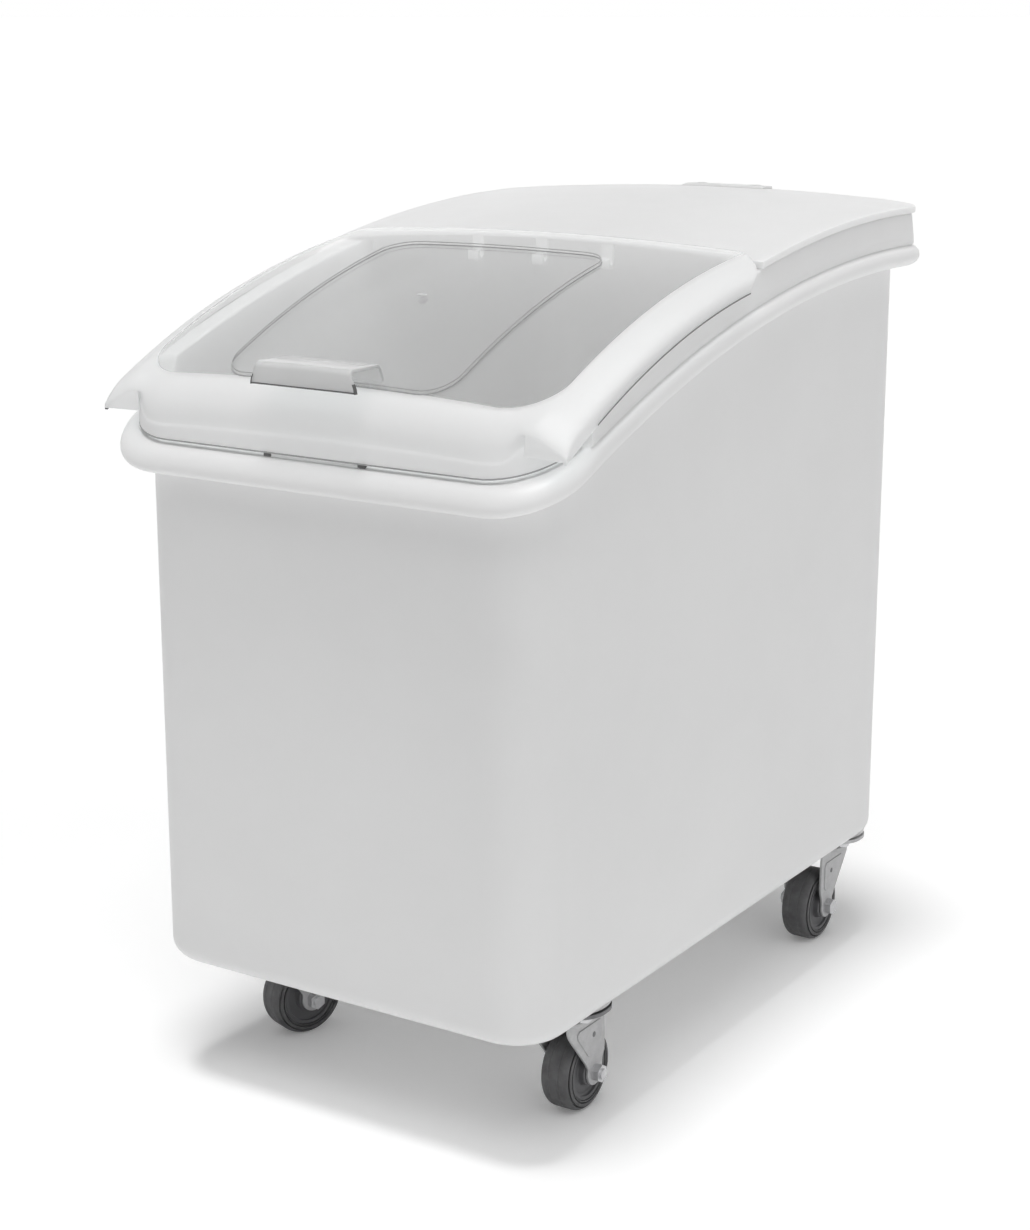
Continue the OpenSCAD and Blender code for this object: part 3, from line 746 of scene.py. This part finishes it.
def build_lid_shell(grid, strip):
    """Crown and wings in one sheet, with the skirt going on down from the front edge."""
    skin = loft(grid, closed=False)
    rings = [strip]
    for share, out in SKIRT_SECTION:
        ring = []
        for x, y, z in strip:
            inward = skirt_inward(x, y)
            z += (skirt_foot(y) - z) * share
            ring.append((x - out * inward.x, y - out * inward.y, z))
        rings.append(ring)
    add(skin, loft(rings, closed=False))
    lid = clear_piece("shell", skin, LID_CLEAR,
                      thick=CLEAR_T, bevel=0.5, segments=2, sharp=35, limit=60)
    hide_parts("clear_lid")


def build_rest():
    """Rest tab between the skirt and the bead, with a dark strip at each end that paints the shadow
    in the slit beside the tab.
    """
    front = -HALF_L - SKIRT_OUT
    y0, y1 = front + 0.2, front + CLEAR_T - 0.2
    top = skirt_foot(front) + 2
    low0, low1 = (rim_z(y, LEDGE_H + REST_GAP) for y in (front, front + CLEAR_T))
    line = [(y0, top), (y0, low0), (y1, low1), (y1, top)]
    clear_piece("rest", extrude(line, -REST_HALF, REST_HALF), LID_CLEAR, bevel=0.4)
    # Painted shadow of the slit at each end of the tab
    inner = REST_HALF + 0.2
    for tail, x0, x1 in (("a", -REST_END, -inner), ("b", inner, REST_END)):
        clear_piece("rest_shade_end_" + tail, extrude(line, x0, x1), LID_SHADE_DARK, bevel=0.4)


def panel_rows():
    """Rows of the raised panel, as (y, half width), with rounded corners."""
    flat = PANEL_W - PANEL_R
    front, rear = PANEL_FRONT + PANEL_R, PANEL_REAR - PANEL_R
    turn = [math.radians(90 * i / 8) for i in range(9)]
    widths = [(PANEL_R * math.sin(a), flat + PANEL_R * math.cos(a)) for a in turn]
    rows = [(front - back, half) for back, half in reversed(widths)]
    rows += [(front + (rear - front) * i / 22, PANEL_W) for i in range(1, 22)]
    return rows + [(rear + back, half) for back, half in widths]


def build_panel():
    """Raised panel, with grey lines along the foot and the top of its step that paint the shade at
    the step's edges.
    """
    rows = panel_rows()
    cols = [2 * i / 20 - 1 for i in range(21)]
    top, bottom = [], []
    for y, half in rows:
        top.append([(half * f, y, over(half * f, y, PANEL_H)) for f in cols])
        bottom.append([(half * f, y, over(half * f, y, 0.05)) for f in cols])
    clear_piece("panel", plate(top, bottom), LID_PANEL, bevel=0.5, segments=2)
    flat = PANEL_W - PANEL_R
    across = [2 * i / 12 - 1 for i in range(1, 12)]
    rim = [(half, y) for y, half in rows] + [(-f * flat, PANEL_REAR) for f in across]
    rim += [(-half, y) for y, half in reversed(rows)] + [(f * flat, PANEL_FRONT) for f in across]
    for tail, lift, inset in (("foot", 0.1, -0.5), ("top", PANEL_H - 0.35, 0.3)):
        far = inset + LINE_W
        rings = []
        for i, (x, y) in enumerate(rim):
            a, b = Vector(rim[i - 1]), Vector(rim[(i + 1) % len(rim)])
            along = (b - a).normalized()
            ring = []
            for depth, up in ((inset, 0), (far, 0), (far, LINE_H), (inset, LINE_H)):
                lx, ly = x - along.y * depth, y + along.x * depth
                ring.append((lx, ly, over(lx, ly, lift + up)))
            rings.append(ring)
        clear_piece("panel_shade_line_" + tail, loft(rings, closed=True, wrap=True), LID_SHADE_LINE)


def build_gate():
    """Round mark of the moulding gate."""
    z = over(0, GATE_Y, PANEL_H)
    ring = [(TIP, z - 0.4), (4.5, z - 0.4), (4.5, z + 0.1), (4, z + 0.35), (2, z + 0.2)]
    ring += [(TIP, z + 0.2)]
    clear_piece("gate", lathe(ring, 24, (0, GATE_Y, 0)), LID_CLEAR)


def build_pull():
    """Finger pull: a hooded flap over the panel's front edge, in a greyer plastic that paints the
    shade on its face, with dark strips at its lower ends and foot that paint the shade of its edges
    and of the gap under it.
    """
    top = clear_z(PANEL_FRONT, -PANEL_H) + PULL_RISE
    front, low = -HALF_L - BEAD_OUT, top - PULL_DROP
    back, under, bend = front + PULL_T, top - PULL_T, -HALF_L - 5
    root, inner_root = PANEL_FRONT + 8, PANEL_FRONT + 4
    line = [(root, over(0, root, PANEL_H - 0.4)), (root, top - 4)]
    line += arc(inner_root, top - 4, 4, 20, 90, 4)
    line += [(bend, top)] + arc(front + 5, top - 5, 5, 90, 180, 6)
    line += [(front, top - 12), (front, low), (back, low), (back, top - 12)]
    line += arc(back + 3, under - 3, 3, 180, 90, 4)
    line += [(bend, under), (inner_root, under), (inner_root, over(0, inner_root, PANEL_H - 0.4))]

    def half_at(z):
        return PULL_HALF + PULL_FLARE * smooth(top - 2, low, z)

    rings = []
    for i in range(17):
        places = [((2 * i / 16 - 1) * half_at(z), y, z) for y, z in line]
        rings.append([(x, y, z - crown_drop(x, SHOULDER_X, CROWN)) for x, y, z in places])
    pull = clear_piece("pull", bar(rings), LID_PULL_SHADED, bevel=0.7)
    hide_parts("finger_pull")

    # Dark strips that paint the shade at the pull's lower ends and in the gap under its foot
    y0, y1 = front - 0.1, back + 0.1
    for tail, s in (("a", -1), ("b", 1)):
        rings = []
        for z in (low, low + 4, low + 8):
            half = half_at(z)
            x0, x1 = s * (half - 1), s * (half + 0.15)
            z -= crown_drop(half, SHOULDER_X, CROWN)
            rings.append([(x0, y0, z), (x1, y0, z), (x1, y1, z), (x0, y1, z)])
        clear_piece("pull_shade_end_" + tail, bar(rings), LID_SHADE_DARK)
    widest = PULL_HALF + PULL_FLARE
    foot = [(y0, low - 0.1), (y1, low - 0.1), (y1, low + 1.3), (y0, low + 1.3)]
    clear_piece("pull_shade_foot", extrude(foot, -widest, widest), LID_SHADE_DARK, bevel=0.3)


def build_slit_shade(strip):
    """Grey strip round the skirt's foot that paints the shadow in the slit between it and the bead.
    """
    rings = []
    for x, y, _ in strip:
        inward = skirt_inward(x, y)
        z = skirt_foot(y)
        section = ((-0.88, 0), (-0.88, 1.3), (2.2, 1.3), (2.2, 0))
        rings.append([(x + d * inward.x, y + d * inward.y, z + up) for d, up in section])
    clear_piece("shade_edge_front", bar(rings), LID_SHADE_LINE)


def build_wing_end(columns, lip, s, tail):
    """Dark strip along a wing's lip that paints the shade of its edge and of the gap over the
    collar, and the web that closes its front end.
    """
    # Painted shadow of the gap under the lip
    rings = []
    for x, y, z in lip:
        if s > 0 and y < RIGHT_SHADE_FRONT:
            continue
        x0, x1 = x + 0.08 * s, x - CLEAR_T * s
        rings.append([(x0, y, z), (x0, y, z + 1.2), (x1, y, z + 1.2), (x1, y, z)])
    clear_piece("shade_edge_" + tail, bar(rings), LID_SHADE_DARK)

    inner = FLAP_X + 3
    upper = [(x, d) for x, d in columns if x * s >= inner and d < CROWN + 17]
    upper.sort(key=lambda c: c[0] * s)
    rings = []
    for y in (-HALF_L + 0.2, -HALF_L + 2.8):
        ring = []
        for x, d in upper:
            z = clear_z(y, d) - front_fall(x, d, y + HALF_L) - 0.6
            ring.append((x - 0.4 * s if d > CROWN + 8 else x, y, z))
        low = clear_z(y, CROWN + 24)
        rings.append(ring + [((WING_OUT - 0.5) * s, y, low), (inner * s, y, low + 1)])
    clear_piece("web_" + tail, bar(rings), LID_CLEAR, bevel=0.4)


def build_clear_lid():
    columns = clear_columns()
    grid = lid_grid(columns)
    strip = skirt_line(columns, grid)
    build_lid_shell(grid, strip)
    build_rest()
    build_panel()
    build_gate()
    build_pull()
    build_slit_shade(strip)
    build_wing_end(columns, grid[0], -1, "l")
    build_wing_end(columns, grid[-1], 1, "r")


# Casters
def fork_leg_outline():
    """Side outline of a fork leg, as (distance behind the pivot, height)."""
    top = CROWN_Z + FORK_T
    line = [(-22, top), (34, top), (37.5, top - 3), (39, 90), (40, 58), (39.4, 54), (38, 51)]
    line += [(36.6, 48), (36, 44.5)] + arc(TRAIL, AXLE_Z, 12, 15, -195, 16)
    line += [(12.2, 44), (8, 50.5), (-16, 80), (-20.5, 86), (-22, 90)]
    return line


def sheet(outline, side, near, far):
    """Closed prism between two distances from the middle plane, on one side of it."""
    return extrude(outline, *sorted((side * near, side * far)))


def mirrored(half):
    """Section of a wheel from its half: (radius, distance from the middle plane)."""
    return half + [(r, -h) for r, h in reversed(half)]


def build_caster(name):
    px, py, turn = PIVOTS[name]
    c, w = math.cos(math.radians(turn)), math.sin(math.radians(turn))

    def put(skin):
        return [(px + x * c - y * w, py + x * w + y * c, z) for x, y, z in skin[0]], skin[1]

    def fork_piece(tail, skin, mat=ZINC_FORK, slot="zinc_fork", **more):
        return make(name + "_fork_" + tail, *put(skin), mat, "fork_" + name, slot, **more)

    def wheel_piece(tail, half, count, mat, slot, sharp):
        skin = lathe(mirrored(half), count, (0, TRAIL, AXLE_Z), "X")
        return make(name + tail, *put(skin), mat, "wheel_" + name, slot, sharp=sharp)

    # Fork: a crown dish and two legs of pressed sheet, each with a raised pad and, in the pad, a
    # dark disc that paints the shade of a small hole
    top, out = CROWN_Z + FORK_T, LEG_IN + FORK_T
    dish = [(6.1, CROWN_Z), (24, CROWN_Z), (28.2, CROWN_Z - 1.5), (29, CROWN_Z)]
    dish += [(29, CROWN_Z + 2), (28, top), (6.1, top)]
    fork = fork_piece("crown", lathe(dish, 64), sharp=30)
    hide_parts(name + "_fork")
    bridge = [(-17.4, CROWN_Z), (17.4, CROWN_Z), (17.4, top), (-17.4, top)]
    pad = [(-8, 84), (-5, 87), (30, 87), (33, 84), (33.5, 60), (31, 56.5), (13, 56.5)]
    pad += [(10, 58), (-7.5, 80)]
    hole_disc = [(TIP, out + 0.6), (2.6, out + 0.6), (2.6, out + 1.2), (2.2, out + 1.4)]
    hole_disc += [(TIP, out + 1.25)]
    for s, tail in ((-1, "a"), (1, "b")):
        fork_piece("bridge_" + tail, sheet(bridge, s, 8.0, out), bevel=1.0)
        fork_piece("leg_" + tail, sheet(fork_leg_outline(), s, LEG_IN, out), bevel=0.8)
        fork_piece("pad_" + tail, sheet(pad, s, out - 0.5, out + 1.1), bevel=0.7)
        # Painted shade of the hole: a dark disc on the pad
        mark = lathe([(r, s * h) for r, h in hole_disc], 20, (0, 19, 76), "X")
        fork_piece("hole_shade_" + tail, mark, SHADED_ZINC, "zinc_plate")

    # Wheel core and tyre
    core = [(7.05, -18), (12.5, -18), (13.5, -17), (13.8, -12), (14.5, -11), (22, -11)]
    core += [(23.5, -12), (24, -14.2), (26.9, -14.5)]
    wheel = wheel_piece("_core_turned", core, 72, CORE_GREY, "wheel_core", 30)
    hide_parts(name + "_wheel_core")
    r, groove = TYRE_R, TYRE_R - 0.35
    tyre = [(27, 13.4), (27.5, 13.4), (27.7, 15.3), (28.8, 15.4), (29, 13.2), (30, 13.2)]
    tyre += [(30.2, 15.3)]
    shoulder = (r - TYRE_SHOULDER, 7.9)
    tyre += arc(*shoulder, TYRE_SHOULDER, 84, 66, 3) + arc(*shoulder, 5.6, 64, 56, 1)
    tyre += arc(*shoulder, TYRE_SHOULDER, 54, 0, 8)
    tyre += [(r, 6), (groove, 5.6), (groove, 4.6), (r, 4.2), (r, 2)]
    rubber = wheel_piece("_tyre_turned", tyre, 96, TYRE_GREY, "tyre", 32)
    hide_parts(name + "_tyre")


build_tub()
build_rear_lid()
build_hooks()
build_clear_lid()
for caster in PIVOTS:
    build_caster(caster)

# Nodes that keep their imported shape get a finished material: the front plates a dark zinc that
# paints the shadow under the tub, the rear plates the paler fork zinc
KEPT = {"plate": SHADED_ZINC}
for tail in ("race", "kingpin", "axle_bolt", "axle_nut", "sleeve", "plate_screws"):
    KEPT[tail] = ZINC_BOLT
for node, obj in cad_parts.items():
    for tail, mat in KEPT.items():
        if node.endswith(tail):
            # Only the front plates are painted dark, for the shade under the tub
            lit_rear_plate = node.startswith("rear") and tail == "plate"
            obj.data.materials.clear()
            obj.data.materials.append(ZINC_FORK if lit_rear_plate else mat)

# Floor
FLOOR_LIFT, WORLD_LIGHT = 0.13, 0.2
bpy.ops.mesh.primitive_plane_add(size=200, location=(0, 0, 0))
floor = bpy.context.object
floor.name = "floor"


def seen_rays(tree):
    """One for a ray that shows the background: from the camera, or by way of metal or glass."""
    rays = tree.nodes.new("ShaderNodeLightPath")
    most = rays.outputs["Is Camera Ray"]
    for kind in ("Is Glossy Ray", "Is Transmission Ray"):
        most = math_node(tree, "MAXIMUM", most, rays.outputs[kind])
    return most


mat, tree, bsdf, coord = node_material("floor_pale")
tone = ramp(tree, noise(tree, coord, 2.0, 3, 0.5), 0.97, 0.985, 0.3, 0.7)
tree.links.new(tone, bsdf.inputs["Base Color"])
bsdf.inputs["Roughness"].default_value = 0.8
bsdf.inputs["Specular IOR Level"].default_value = 0.1
bsdf.inputs["Emission Color"].default_value = (1, 1, 1, 1)
lift = math_node(tree, "MULTIPLY", seen_rays(tree), FLOOR_LIFT)
tree.links.new(lift, bsdf.inputs["Emission Strength"])
floor.data.materials.append(mat)

# World: soft even light, and plain white where the camera looks past the floor
world = bpy.data.worlds.new("studio")
bpy.context.scene.world = world
world.use_nodes = True
wt = world.node_tree
back = wt.nodes["Background"]
seen = wt.nodes.new("ShaderNodeBackground")
for node, strength in ((back, WORLD_LIGHT), (seen, 1.0)):
    node.inputs["Color"].default_value = (1, 1, 1, 1)
    node.inputs["Strength"].default_value = strength
blend(wt, back, seen, seen_rays(wt), "World Output")


def lamp(name, towards, spread, power):
    """Broad even light from a direction."""
    data = bpy.data.lights.new(name, "SUN")
    data.angle = math.radians(spread)
    data.energy = power
    obj = bpy.data.objects.new(name, data)
    bpy.context.scene.collection.objects.link(obj)
    obj.location = Vector(towards) * 4
    obj.rotation_euler = Vector(towards).to_track_quat("Z", "Y").to_euler()


lamp("key", (0.27, -0.45, 1.0), 30, 0.7)
lamp("side", (0.85, -0.2, 0.6), 60, 0.36)
lamp("top", (-0.02, -0.1, 1.0), 14, 1.4)

# Camera at the photograph's viewing angle, with its focal length in pixels of the photograph
FOCAL_PX, PHOTO_H, SENSOR = 2378, 1230, 36
cam = bpy.data.cameras.new("camera")
cam.lens = FOCAL_PX / PHOTO_H * SENSOR
cam.sensor_width = SENSOR
cam.sensor_fit = "AUTO"
cam.clip_end = 100
cam_obj = bpy.data.objects.new("camera", cam)
bpy.context.scene.collection.objects.link(cam_obj)
cam_obj.location = (1.169, -1.868, 0.964)
look = Vector((-0.5239, 0.8134, -0.2529))
cam_obj.rotation_euler = look.to_track_quat("-Z", "Y").to_euler()
bpy.context.scene.camera = cam_obj
bpy.context.scene.view_settings.view_transform = "Standard"
